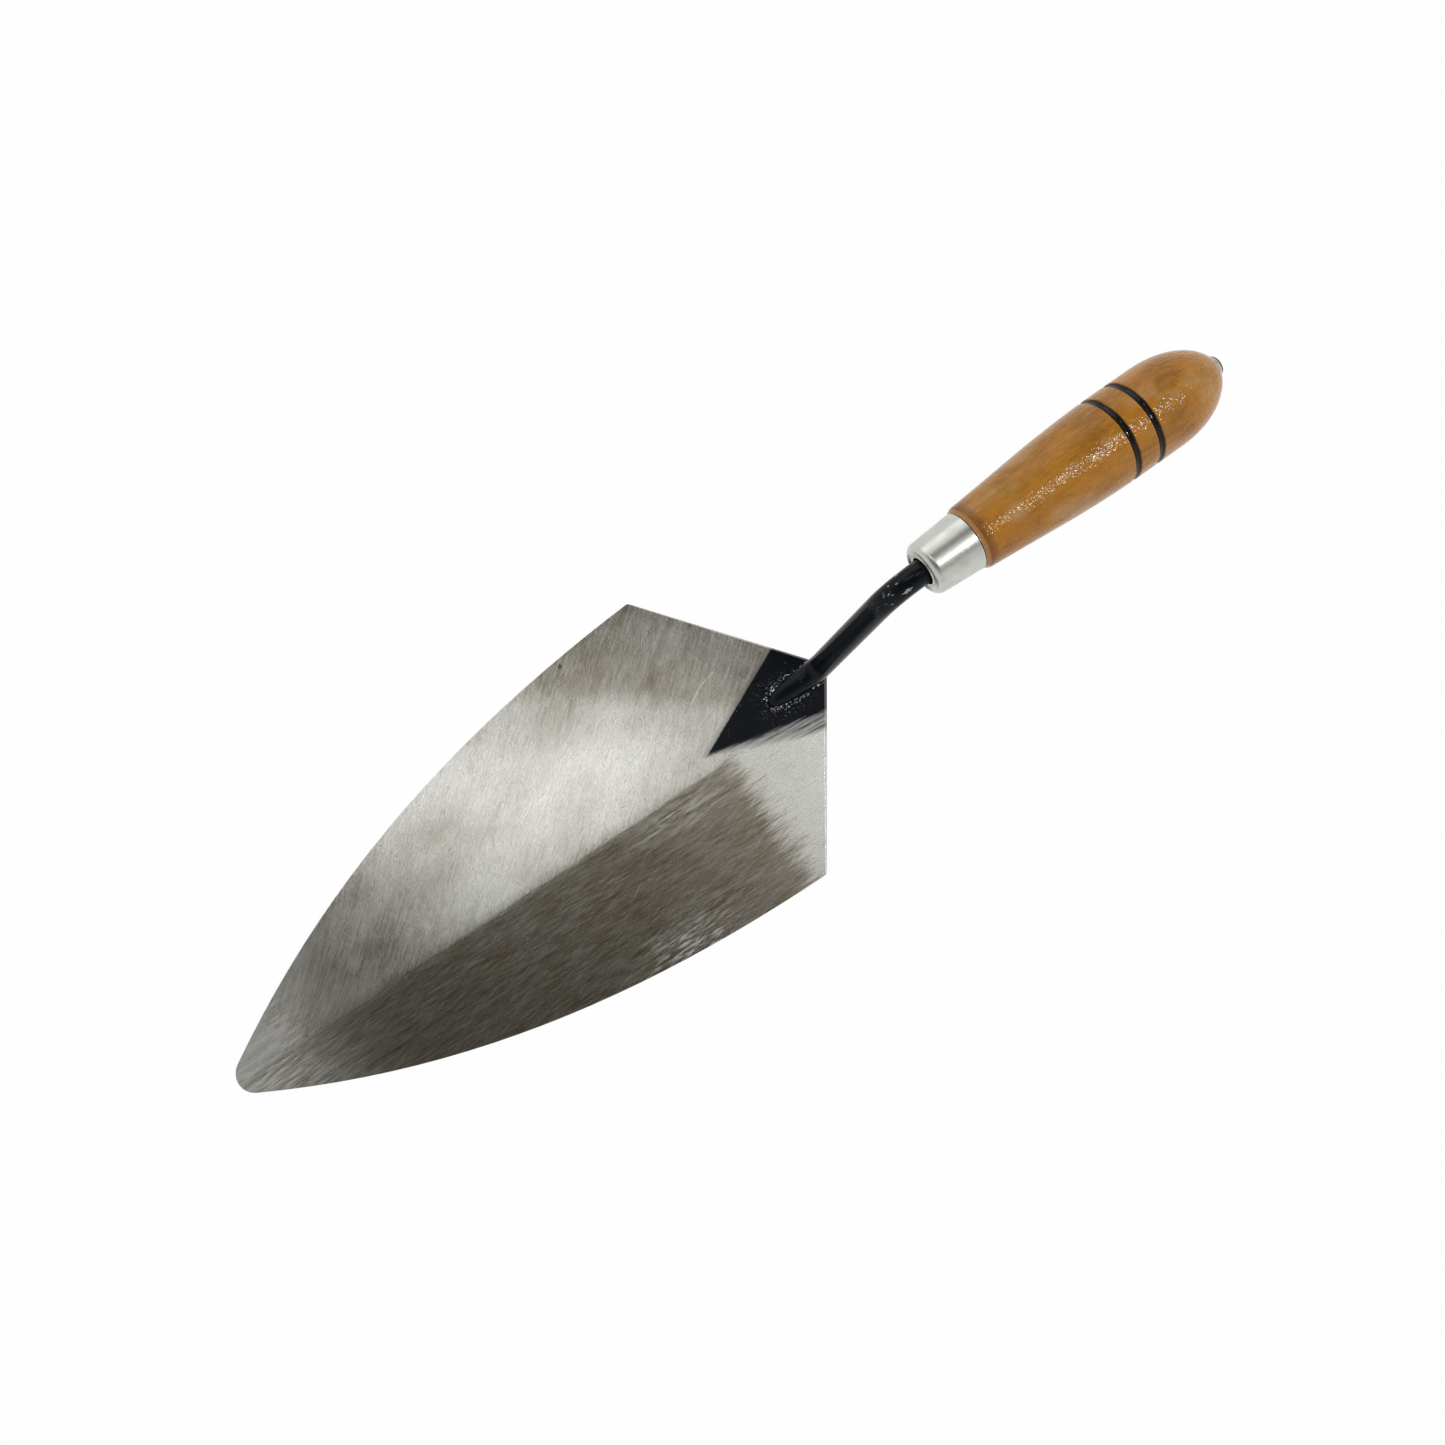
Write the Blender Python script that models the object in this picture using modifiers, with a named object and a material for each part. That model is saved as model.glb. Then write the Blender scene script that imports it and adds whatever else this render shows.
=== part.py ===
"""Brick trowel: taper-ground steel blade, welded gooseneck shank, ferrule and turned wooden handle.

Run with blender --background --python part.py, or from Blender's text editor. Metres, +Z up.
The blade lies flat on the plane Z = 0. The origin is on its underside, on the centre line, where
the blade is widest. The blade points along -X and the handle lies along +X.
"""

import math

import bmesh
import bpy
from mathutils import Matrix, Vector
from mathutils.geometry import interpolate_bezier

# Blade
BLADE_LENGTH = 0.254  # from the tip to the corner where the two heel edges would cross
BLADE_WIDTH = 0.123
HEEL_LENGTH = 0.046  # from the widest line back to that corner
TIP_RADIUS = 0.007
TIP_HALF_ANGLE = math.radians(31)  # between a side and the centre line, at the tip
SIDE_END_ANGLE = math.radians(2.5)  # the same at the widest line
SIDE_FULLNESS = (0.34, 0.36)  # reach of the side curve's two handles, as shares of its chord
SHOULDER_RADIUS = 0.0025
HEEL_CORNER_RADIUS = 0.004
RIDGE_AT_TIP = 0.0018  # thickness on the centre line at the tip
RIDGE_AT_HEEL = 0.0032  # and at the heel corner
SIDE_FALL = 0.0312  # drop of the top surface per unit of distance from the centre line
HEEL_EDGE_SLANT = math.radians(24)  # the filed heel edges lean inwards by this from upright

# Shank: one round bar, from its foot on the blade, through the gooseneck, to the riveted tang end
SHANK_RADIUS = 0.0045
FOOT_REACH = 0.0215  # the foot's point lies this far ahead of the lower bend
FOOT_POINT_RADIUS = 0.0009
FOOT_SLOPE = math.radians(11)
LOWER_BEND_AHEAD = 0.0052  # from the heel corner forward to the bar's lower bend
LOWER_BEND_HEIGHT = 0.0068
LOWER_BEND_RADIUS = 0.010
RISE_ANGLE = math.radians(64.5)
UPPER_BEND_RADIUS = 0.017
HANDLE_AXIS_HEIGHT = 0.0595  # where the handle's axis enters the ferrule
HANDLE_DROP = math.radians(2.5)  # the handle's axis falls towards the butt
TANG_END_RADIUS = 0.0024
RIVET_RADIUS = 0.0037
RIVET_HEIGHT = 0.0011

# Weld beads along both sides of the foot
BEAD_RADIUS = 0.0021
BEAD_STAND_OFF = 0.0012  # from the foot's edge out to the bead's centre
BEAD_END_TAPER = 0.55
BEAD_RIPPLE = 0.00025
BEAD_RIPPLES = 4

# Ferrule, measured along the handle's axis from the ferrule's front face
FERRULE_LENGTH = 0.0185
FERRULE_FRONT_RADIUS = 0.0097
FERRULE_REAR_RADIUS = 0.0108
FERRULE_WALL = 0.0009
FERRULE_NOSE_RADIUS = 0.0027
NECK_STRAIGHT = 0.0005  # straight bar between the upper bend and the ferrule
NECK_CLEARANCE = 0.0008  # round the bar in the ferrule's hole

# Handle, measured along its axis from its shoulder behind the ferrule
HANDLE_LENGTH = 0.1088
SHOULDER_STEP = 0.0006  # the wood stands this proud of the ferrule
SHOULDER_ROUND = 0.0028
GRIP_RADIUS = 0.0161  # at the fullest place
GRIP_FULLEST = 0.072
GRIP_FULLNESS = 0.42  # reach of the grip curve's handles, as a share of its length
GRIP_FLARE = 1.35  # its slope behind the shoulder, as a multiple of its mean slope
BUTT_START = 0.083  # where the rounded butt begins
BUTT_FLAT_RADIUS = 0.0048
BUTT_FULLNESS = (0.46, 0.18, 0.62)  # the butt curve's handles: ahead, then back and up at its end
GROOVE_PLACES = (0.0612, 0.0715)
GROOVE_WIDTH = 0.0028
GROOVE_DEPTH = 0.0009

# Butt washer
WASHER_RADIUS = 0.0042
WASHER_THICKNESS = 0.0012

GAP = 0.0003  # between pieces that touch
TURN_STEPS = 32
BAR_SIDES_RESOLUTION = 6  # gives 16 sides
FOOT_STEPS = 8
MERGE = 0.00001

X_TIP = HEEL_LENGTH - BLADE_LENGTH
X_HEEL = HEEL_LENGTH
HALF_WIDTH = BLADE_WIDTH / 2
AXIS = Vector((math.cos(HANDLE_DROP), 0, -math.sin(HANDLE_DROP)))


def clear_scene():
    for obj in list(bpy.data.objects):
        bpy.data.objects.remove(obj)


def new_collection(name):
    collection = bpy.data.collections.new(name)
    bpy.context.scene.collection.children.link(collection)
    return collection


def material(name, colour, roughness, metallic):
    made = bpy.data.materials.new(name)
    made.use_nodes = True
    shader = made.node_tree.nodes["Principled BSDF"]
    shader.inputs["Base Color"].default_value = (*colour, 1)
    shader.inputs["Roughness"].default_value = roughness
    shader.inputs["Metallic"].default_value = metallic
    return made


def object_from_bmesh(name, bm, collection):
    mesh = bpy.data.meshes.new(name)
    bm.to_mesh(mesh)
    bm.free()
    obj = bpy.data.objects.new(name, mesh)
    collection.objects.link(obj)
    return obj


def finish(obj, look, sharp_angle=math.radians(35)):
    obj.data.materials.append(look)
    obj.data.shade_smooth()
    obj.data.set_sharp_from_angle(angle=sharp_angle)
    return obj


def as_cutter(obj):
    obj.hide_render = True
    obj.display_type = "WIRE"
    return obj


def cut_away(obj, cutter):
    modifier = obj.modifiers.new("Cut_" + cutter.name, "BOOLEAN")
    modifier.operation = "DIFFERENCE"
    modifier.solver = "EXACT"
    modifier.object = cutter


def rounded_corner(before, corner, after, radius, steps):
    """Points of the arc that rounds a corner, from the side of before to the side of after."""
    towards_before = (before - corner).normalized()
    towards_after = (after - corner).normalized()
    half_angle = towards_before.angle(towards_after) / 2
    middle = corner + (towards_before + towards_after).normalized() * radius / math.sin(half_angle)
    start = corner + towards_before * radius / math.tan(half_angle) - middle
    swing = math.pi - 2 * half_angle
    normal = start.cross(towards_after).normalized()
    turns = [Matrix.Rotation(swing * i / steps, 3, normal) for i in range(steps + 1)]
    return [middle + turn @ start for turn in turns]


def ridge_height(x):
    """Height of the blade's top surface on the centre line."""
    return RIDGE_AT_TIP + (RIDGE_AT_HEEL - RIDGE_AT_TIP) * (x - X_TIP) / BLADE_LENGTH


def blade_half_outline():
    """Points of one half of the blade, from the tip round the side to the heel corner."""
    centre = Vector((X_TIP + TIP_RADIUS, 0, 0))
    turned = [math.radians(180) - (math.radians(90) - TIP_HALF_ANGLE) * i / 6 for i in range(7)]
    tip = [centre + TIP_RADIUS * Vector((math.cos(a), math.sin(a), 0)) for a in turned]
    shoulder = Vector((0, HALF_WIDTH, 0))
    heel = Vector((X_HEEL, 0, 0))
    chord = (shoulder - tip[-1]).length
    leaving = Vector((math.cos(TIP_HALF_ANGLE), math.sin(TIP_HALF_ANGLE), 0))
    arriving = Vector((math.cos(SIDE_END_ANGLE), math.sin(SIDE_END_ANGLE), 0))
    side = interpolate_bezier(
        tip[-1],
        tip[-1] + leaving * SIDE_FULLNESS[0] * chord,
        shoulder - arriving * SIDE_FULLNESS[1] * chord,
        shoulder,
        24,
    )
    rounded_shoulder = rounded_corner(shoulder - arriving, shoulder, heel, SHOULDER_RADIUS, 4)
    other_heel_edge = Vector((0, -HALF_WIDTH, 0))
    rounded_heel = rounded_corner(shoulder, heel, other_heel_edge, HEEL_CORNER_RADIUS, 8)
    return tip[:-1] + side[:-1] + rounded_shoulder + rounded_heel[:5]


def bisect_and_close(bm, point, normal):
    """Cut off what lies on the normal's side of a plane and close the cut."""
    everything = bm.verts[:] + bm.edges[:] + bm.faces[:]
    cut = bmesh.ops.bisect_plane(
        bm, geom=everything, dist=1e-7, plane_co=point, plane_no=normal, clear_outer=True
    )
    rim = [item for item in cut["geom_cut"] if isinstance(item, bmesh.types.BMEdge)]
    bmesh.ops.holes_fill(bm, edges=rim)


def extruded_outline(points, height):
    bm = bmesh.new()
    face = bm.faces.new([bm.verts.new(point) for point in points])
    top = bmesh.ops.extrude_face_region(bm, geom=[face])["geom"]
    lifted = [item for item in top if isinstance(item, bmesh.types.BMVert)]
    bmesh.ops.translate(bm, verts=lifted, vec=(0, 0, height))
    bmesh.ops.recalc_face_normals(bm, faces=bm.faces)
    return bm


def make_blade(collection):
    bm = extruded_outline(blade_half_outline(), 2 * RIDGE_AT_HEEL)
    climb = (RIDGE_AT_HEEL - RIDGE_AT_TIP) / BLADE_LENGTH
    bisect_and_close(bm, (X_TIP, 0, RIDGE_AT_TIP), Vector((-climb, SIDE_FALL, 1)).normalized())
    along_heel = Vector((-HEEL_LENGTH, HALF_WIDTH, 0)).normalized()
    out_of_heel = Vector((along_heel.y, -along_heel.x, 0))
    leaning = Matrix.Rotation(HEEL_EDGE_SLANT, 3, along_heel) @ out_of_heel
    leaning.z = abs(leaning.z)
    bisect_and_close(bm, (X_HEEL, 0, 0), leaning)
    on_plane = [f for f in bm.faces if all(abs(v.co.y) < 1e-7 for v in f.verts)]
    bmesh.ops.delete(bm, geom=on_plane, context="FACES")
    blade = object_from_bmesh("blade", bm, collection)
    mirror = blade.modifiers.new("Other_half", "MIRROR")
    mirror.use_axis = (False, True, False)
    mirror.merge_threshold = MERGE
    return finish(blade, material("Ground_steel", (0.52, 0.51, 0.48), 0.35, 1.0))


def ferrule_front():
    """Where the handle's axis meets the ferrule's front face."""
    lower = Vector((X_HEEL - LOWER_BEND_AHEAD, 0, LOWER_BEND_HEIGHT))
    upper = upper_bend(lower)
    turn = RISE_ANGLE + HANDLE_DROP
    return upper + AXIS * (UPPER_BEND_RADIUS * math.tan(turn / 2) + NECK_STRAIGHT)


def upper_bend(lower):
    rise = (HANDLE_AXIS_HEIGHT - lower.z) / math.tan(RISE_ANGLE)
    return Vector((lower.x + rise, 0, HANDLE_AXIS_HEIGHT))


def on_axis(distance, radius=0.0):
    """A point beside the handle's axis, in its own turned profile's frame."""
    return Vector((radius, 0, distance))


SHOULDER_PLACE = FERRULE_LENGTH + GAP  # the handle's shoulder, from the ferrule's front face
BUTT_PLACE = SHOULDER_PLACE + HANDLE_LENGTH
WASHER_PLACE = BUTT_PLACE + GAP
RIVET_PLACE = WASHER_PLACE + WASHER_THICKNESS + GAP


def tang_radius(distance):
    """The tang tapers evenly from the ferrule's front face to the washer."""
    share = min(max(distance / RIVET_PLACE, 0), 1)
    return SHANK_RADIUS + (TANG_END_RADIUS - SHANK_RADIUS) * share


def shank_path(extra=0.0):
    """(point, radius) along the bar, with every radius larger by extra."""
    lower = Vector((X_HEEL - LOWER_BEND_AHEAD, 0, LOWER_BEND_HEIGHT))
    upper = upper_bend(lower)
    front = ferrule_front()
    foot_run = Vector((math.cos(FOOT_SLOPE), 0, math.sin(FOOT_SLOPE)))
    foot_point = lower - foot_run * FOOT_REACH / math.cos(FOOT_SLOPE)
    lower_arc = rounded_corner(foot_point, lower, upper, LOWER_BEND_RADIUS, 7)
    upper_arc = rounded_corner(lower, upper, front, UPPER_BEND_RADIUS, 9)
    foot = []
    for i in range(FOOT_STEPS):
        share = i / FOOT_STEPS
        swell = math.sqrt(1 - (1 - share) ** 2)
        radius = FOOT_POINT_RADIUS + (SHANK_RADIUS - FOOT_POINT_RADIUS) * swell
        foot.append((foot_point.lerp(lower_arc[0], share), radius))
    neck = [(point, SHANK_RADIUS) for point in lower_arc + upper_arc]
    stations = [RIVET_PLACE * i / 8 for i in range(9)]
    tang = [(front + AXIS * d, tang_radius(d)) for d in stations]
    dome = [math.radians(4 + 22 * i) for i in range(4)]
    rivet = [
        (front + AXIS * (RIVET_PLACE + RIVET_HEIGHT * math.sin(a)), RIVET_RADIUS * math.cos(a)) for a in dome
    ]
    return [(point, radius + extra) for point, radius in foot + neck + tang + rivet]


def bar_from_path(name, path, collection):
    """A closed mesh of a round bar that follows (point, radius) pairs."""
    curve = bpy.data.curves.new(name + "_curve", "CURVE")
    curve.dimensions = "3D"
    curve.bevel_depth = 1.0
    curve.bevel_resolution = BAR_SIDES_RESOLUTION
    curve.use_fill_caps = True
    spline = curve.splines.new("POLY")
    spline.points.add(len(path) - 1)
    for point, (place, radius) in zip(spline.points, path):
        point.co = (*place, 1)
        point.radius = radius
    guide = bpy.data.objects.new(name + "_guide", curve)
    collection.objects.link(guide)
    bpy.context.view_layer.update()
    graph = bpy.context.evaluated_depsgraph_get()
    mesh = bpy.data.meshes.new_from_object(guide.evaluated_get(graph))
    bm = bmesh.new()
    bm.from_mesh(mesh)
    bm.transform(guide.matrix_world)
    bmesh.ops.remove_doubles(bm, verts=bm.verts, dist=MERGE)
    bmesh.ops.recalc_face_normals(bm, faces=bm.faces)
    bpy.data.objects.remove(guide)
    bpy.data.meshes.remove(mesh)
    return bm


def blade_top_plane(lift):
    """A point and normal of the plane that runs along the ridge, raised by lift."""
    climb = (RIDGE_AT_HEEL - RIDGE_AT_TIP) / BLADE_LENGTH
    return Vector((0, 0, ridge_height(0) + lift)), Vector((climb, 0, -1)).normalized()


def make_shank(collection):
    bm = bar_from_path("shank", shank_path(), collection)
    point, normal = blade_top_plane(GAP)
    bisect_and_close(bm, point, normal)
    shank = object_from_bmesh("shank", bm, collection)
    return finish(shank, material("Black_enamel", (0.012, 0.014, 0.016), 0.22, 0.0))


def make_weld_beads(collection, cutters):
    """One rippled bead along each side of the foot, seated on the blade and against the bar."""
    foot = [(point, radius) for point, radius in shank_path() if point.x < X_HEEL - LOWER_BEND_AHEAD]
    foot_bm = bar_from_path("foot_cutter", shank_path(GAP)[: len(foot) + FOOT_STEPS], cutters)
    foot_cutter = as_cutter(object_from_bmesh("foot_cutter", foot_bm, cutters))
    look = material("Painted_weld", (0.02, 0.022, 0.024), 0.3, 0.0)
    start = foot[0][0].x
    end = X_HEEL - LOWER_BEND_AHEAD - BEAD_RADIUS / 2
    for side, name in ((1, "weld_left"), (-1, "weld_right")):
        path = []
        steps = 3 * BEAD_RIPPLES
        for i in range(steps + 1):
            x = start + (end - start) * i / steps
            half = foot_half_width(foot, x)
            ripple = BEAD_RIPPLE * math.cos(2 * math.pi * BEAD_RIPPLES * i / steps)
            taper = BEAD_END_TAPER if i in (0, steps) else 1.0
            place = Vector((x, side * (half + BEAD_STAND_OFF), ridge_height(x)))
            path.append((place, (BEAD_RADIUS + ripple) * taper))
        bm = bar_from_path(name, path, collection)
        point, normal = blade_top_plane(GAP)
        bisect_and_close(bm, point, normal)
        bead = object_from_bmesh(name, bm, collection)
        cut_away(bead, foot_cutter)
        finish(bead, look)


def foot_half_width(foot, x):
    """Half the foot's width where it meets the blade, at the place x."""
    for (before, small), (after, large) in zip(foot, foot[1:]):
        if before.x <= x <= after.x:
            share = (x - before.x) / (after.x - before.x)
            height = before.z + (after.z - before.z) * share - ridge_height(x)
            radius = small + (large - small) * share
            return math.sqrt(max(radius * radius - height * height, 0))
    return foot[-1][1] * 0.5


def turned(name, profile, collection, look, sharp_angle=math.radians(35)):
    """A solid turned about the handle's axis. The closed profile lists (distance, radius)."""
    bm = bmesh.new()
    points = [bm.verts.new(on_axis(distance, radius)) for distance, radius in profile]
    for first, second in zip(points, points[1:] + points[:1]):
        bm.edges.new((first, second))
    obj = object_from_bmesh(name, bm, collection)
    screw = obj.modifiers.new("Turn", "SCREW")
    screw.axis = "Z"
    screw.steps = TURN_STEPS
    screw.render_steps = TURN_STEPS
    screw.use_merge_vertices = True
    screw.merge_threshold = MERGE
    obj.location = ferrule_front()
    obj.rotation_euler = AXIS.to_track_quat("Z", "Y").to_euler()
    return finish(obj, look, sharp_angle)


def arc_profile(centre, radius, start, end, steps):
    """(distance, radius) pairs on an arc, with the angle measured from the outward radius."""
    angles = [start + (end - start) * i / steps for i in range(steps + 1)]
    return [(centre[0] + radius * math.sin(a), centre[1] + radius * math.cos(a)) for a in angles]


def ferrule_inner_radius(distance):
    share = (distance - FERRULE_NOSE_RADIUS) / (FERRULE_LENGTH - FERRULE_NOSE_RADIUS)
    return FERRULE_FRONT_RADIUS + (FERRULE_REAR_RADIUS - FERRULE_FRONT_RADIUS) * share - FERRULE_WALL


def make_ferrule(collection):
    nose = FERRULE_NOSE_RADIUS
    hole = SHANK_RADIUS + NECK_CLEARANCE
    outer_nose = arc_profile((nose, FERRULE_FRONT_RADIUS - nose), nose, 0, -math.pi / 2, 6)
    inner = nose - FERRULE_WALL
    inner_nose = arc_profile((nose, FERRULE_FRONT_RADIUS - nose), inner, -math.pi / 2, 0, 6)
    half_wall = FERRULE_WALL / 2
    lip = arc_profile((half_wall, hole + half_wall), half_wall, -math.pi / 2, -1.5 * math.pi, 4)
    profile = [(FERRULE_LENGTH, FERRULE_REAR_RADIUS)]
    profile += outer_nose
    profile += lip
    profile += inner_nose
    profile += [(FERRULE_LENGTH, ferrule_inner_radius(FERRULE_LENGTH))]
    look = material("Plated_steel", (0.62, 0.63, 0.62), 0.28, 1.0)
    return turned("ferrule", profile, collection, look)


def groove_profile(place):
    """(distance, radius) pairs of a round-bottomed groove, from the butt side to the front side."""
    steps = 6
    pairs = []
    for i in range(steps + 1):
        share = 1 - 2 * i / steps
        distance = place + share * GROOVE_WIDTH / 2
        depth = GROOVE_DEPTH * math.cos(share * math.pi / 2)
        pairs.append((distance, grip_radius(distance) - depth))
    return pairs


def grip_curve():
    """(distance, radius) of the grip, from the shoulder to the start of the butt."""
    front_radius = FERRULE_REAR_RADIUS + SHOULDER_STEP
    front = Vector((SHOULDER_PLACE + SHOULDER_ROUND, front_radius + SHOULDER_STEP, 0))
    fullest = Vector((SHOULDER_PLACE + GRIP_FULLEST, GRIP_RADIUS, 0))
    reach = (fullest.x - front.x) * GRIP_FULLNESS
    slope = (fullest.y - front.y) / (fullest.x - front.x)
    leaving = front + Vector((reach, reach * slope * GRIP_FLARE, 0))
    return interpolate_bezier(front, leaving, fullest - Vector((reach, 0, 0)), fullest, 13)


def grip_radius(distance):
    """The grip's radius at a distance along the axis."""
    curve = grip_curve()
    for before, after in zip(curve, curve[1:]):
        if before.x <= distance <= after.x:
            return before.y + (after.y - before.y) * (distance - before.x) / (after.x - before.x)
    return curve[0].y if distance < curve[0].x else GRIP_RADIUS


def butt_curve():
    start = Vector((SHOULDER_PLACE + BUTT_START, GRIP_RADIUS, 0))
    end = Vector((BUTT_PLACE, BUTT_FLAT_RADIUS, 0))
    long = end.x - start.x
    drop = start.y - end.y
    ahead, back, up = BUTT_FULLNESS
    leaving = start + Vector((long * ahead, 0, 0))
    arriving = end + Vector((-long * back, drop * up, 0))
    return interpolate_bezier(start, leaving, arriving, end, 10)


def make_handle(collection):
    """The turned grip, with its tenon in the ferrule, a tapered bore for the tang and two grooves."""
    tenon_start = FERRULE_NOSE_RADIUS + GAP
    tenon_front = ferrule_inner_radius(tenon_start) - GAP
    tenon_rear = ferrule_inner_radius(FERRULE_LENGTH) - GAP
    round_centre = (SHOULDER_PLACE + SHOULDER_ROUND, grip_curve()[0].y - SHOULDER_ROUND)
    round_off = arc_profile(round_centre, SHOULDER_ROUND, 0, -math.pi / 3, 4)
    grip = [(p.x, p.y) for p in reversed(grip_curve())]
    for place in GROOVE_PLACES:
        cut = groove_profile(SHOULDER_PLACE + place)
        grip = [p for p in grip if not cut[-1][0] < p[0] < cut[0][0]] + cut
    grip.sort(reverse=True)
    grip = [p for i, p in enumerate(grip) if i == 0 or grip[i - 1][0] - p[0] > MERGE]
    profile = [(p.x, p.y) for p in reversed(butt_curve())]
    profile += grip
    profile += round_off[1:]
    profile += [(SHOULDER_PLACE, tenon_rear), (tenon_start, tenon_front)]
    profile += [(place, tang_radius(place) + GAP) for place in (tenon_start, BUTT_PLACE)]
    look = material("Varnished_wood", (0.50, 0.22, 0.055), 0.3, 0.0)
    return turned("handle", profile, collection, look)


def make_butt_washer(collection):
    hole = tang_radius(WASHER_PLACE) + GAP
    edge = WASHER_THICKNESS * 0.35
    front = WASHER_PLACE
    back = WASHER_PLACE + WASHER_THICKNESS
    profile = [(back, hole), (back, WASHER_RADIUS - edge), (back - edge, WASHER_RADIUS)]
    profile += [(front, WASHER_RADIUS), (front, hole)]
    return turned("butt_washer", profile, collection, material("Zinc_plate", (0.6, 0.6, 0.56), 0.35, 1.0))


def main():
    clear_scene()
    parts = new_collection("Brick_trowel")
    cutters = new_collection("Cutters")
    make_blade(parts)
    make_shank(parts)
    make_weld_beads(parts, cutters)
    make_ferrule(parts)
    make_handle(parts)
    make_butt_washer(parts)


main()
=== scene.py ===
"""Brick trowel: the finish of the blade, bar, welds, ferrule, handle and butt, and a studio stage.

Laid out as an add-on and run as a script. Metres, +Z up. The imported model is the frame: the blade lies
on Z = 0 and points along -X, and the handle lies along +X.
"""

import math
import random

import bmesh
import bpy
from bpy.props import FloatProperty, FloatVectorProperty, IntProperty, PointerProperty
from mathutils import Matrix, Vector, noise
from mathutils.geometry import interpolate_bezier


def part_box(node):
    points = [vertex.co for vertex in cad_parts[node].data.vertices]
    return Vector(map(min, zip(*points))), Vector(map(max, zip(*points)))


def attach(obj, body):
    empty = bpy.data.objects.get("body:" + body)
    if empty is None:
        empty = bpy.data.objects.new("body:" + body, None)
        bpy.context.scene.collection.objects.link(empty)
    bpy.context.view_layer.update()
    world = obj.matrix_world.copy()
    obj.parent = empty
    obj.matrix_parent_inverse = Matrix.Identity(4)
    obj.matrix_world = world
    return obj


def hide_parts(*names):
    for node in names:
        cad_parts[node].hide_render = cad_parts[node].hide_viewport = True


bl_info = {
    "name": "Brick Trowel",
    "version": (1, 0, 0),
    "blender": (4, 5, 0),
    "location": "View3D > Sidebar > Trowel",
    "description": "Builds the finished surfaces of a brick trowel on its packed frame",
    "category": "Add Mesh",
}

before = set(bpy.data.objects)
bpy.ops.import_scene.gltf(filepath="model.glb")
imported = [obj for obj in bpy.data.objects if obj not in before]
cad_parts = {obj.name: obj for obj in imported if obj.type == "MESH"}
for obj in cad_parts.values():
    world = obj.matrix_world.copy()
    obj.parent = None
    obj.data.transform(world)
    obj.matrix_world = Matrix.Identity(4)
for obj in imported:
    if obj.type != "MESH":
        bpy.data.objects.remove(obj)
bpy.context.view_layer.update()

MERGE = 1e-6
SEED = 7

# The camera looks down on the blade from a little towards its point.
CAMERA_PLACE = Vector((-0.06299, -0.05889, 0.50946))
CAMERA_AIM = Vector((0.00208, 0.00508, 0.0))
CAMERA_UP_AZIMUTH = math.radians(53.93)
CAMERA_LENS = 35.35


def node_points(name):
    return [vertex.co.copy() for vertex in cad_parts[name].data.vertices]


def middle(name):
    """The mean of a turned node's points, which lies on its axis."""
    points = node_points(name)
    return sum(points, Vector()) / len(points)


class HandleAxis:
    """The line that the ferrule, handle and washer are turned about."""

    def __init__(self):
        start = middle("ferrule")
        run = middle("butt_washer") - start
        self.drop = math.atan2(-run.z, run.x)
        self.direction = Vector((math.cos(self.drop), 0, -math.sin(self.drop)))
        nearest = min((point - start).dot(self.direction) for point in node_points("ferrule"))
        self.front = start + self.direction * nearest
        self.matrix = Matrix.Translation(self.front) @ Matrix.Rotation(self.drop, 4, "Y")

    def span(self, name):
        """How far a node reaches along the axis, from the ferrule's front face."""
        places = [(point - self.front).dot(self.direction) for point in node_points(name)]
        return min(places), max(places)

    def point(self, distance):
        return self.front + self.direction * distance


AXIS = HandleAxis()
BLADE_LOW, BLADE_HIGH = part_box("blade")
X_TIP = BLADE_LOW.x
X_HEEL = BLADE_HIGH.x
HALF_WIDTH = BLADE_HIGH.y
FERRULE_END = AXIS.span("ferrule")[1]
HANDLE_END = AXIS.span("handle")[1]
SHOULDER_PLACE = FERRULE_END + 0.0003
WASHER_SPAN = AXIS.span("butt_washer")
RIVET_END = AXIS.span("shank")[1]


class TrowelSizes(bpy.types.PropertyGroup):
    """Sizes that shape the finer surfaces."""

    bar_radius: FloatProperty(
        name="Bar radius", description="Radius of the shank's round bar", default=0.0045, unit="LENGTH"
    )
    rise_angle: FloatProperty(
        name="Rise", description="Slope of the gooseneck", default=math.radians(64.5), subtype="ANGLE"
    )
    foot_slope: FloatProperty(
        name="Foot slope", description="Slope of the bar's foot", default=math.radians(11), subtype="ANGLE"
    )
    foot_reach: FloatProperty(
        name="Foot reach", description="Length of the foot", default=0.0215, unit="LENGTH"
    )
    nose_radius: FloatProperty(
        name="Nose radius", description="Rounding of the ferrule's nose", default=0.0027, unit="LENGTH"
    )
    grip_radius: FloatProperty(
        name="Grip radius", description="Handle's radius at its fullest", default=0.0161, unit="LENGTH"
    )
    groove_width: FloatProperty(
        name="Groove width", description="Width of the two painted grooves", default=0.0028, unit="LENGTH"
    )
    groove_depth: FloatProperty(
        name="Groove depth", description="Depth of the two grooves", default=0.0009, unit="LENGTH"
    )
    edge_rounding: FloatProperty(
        name="Edge rounding", description="Rounding of the blade's edges", default=0.00022, unit="LENGTH"
    )
    turn_steps: IntProperty(
        name="Turn steps", description="Sides of each turned piece", default=128, min=24, max=256
    )


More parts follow.
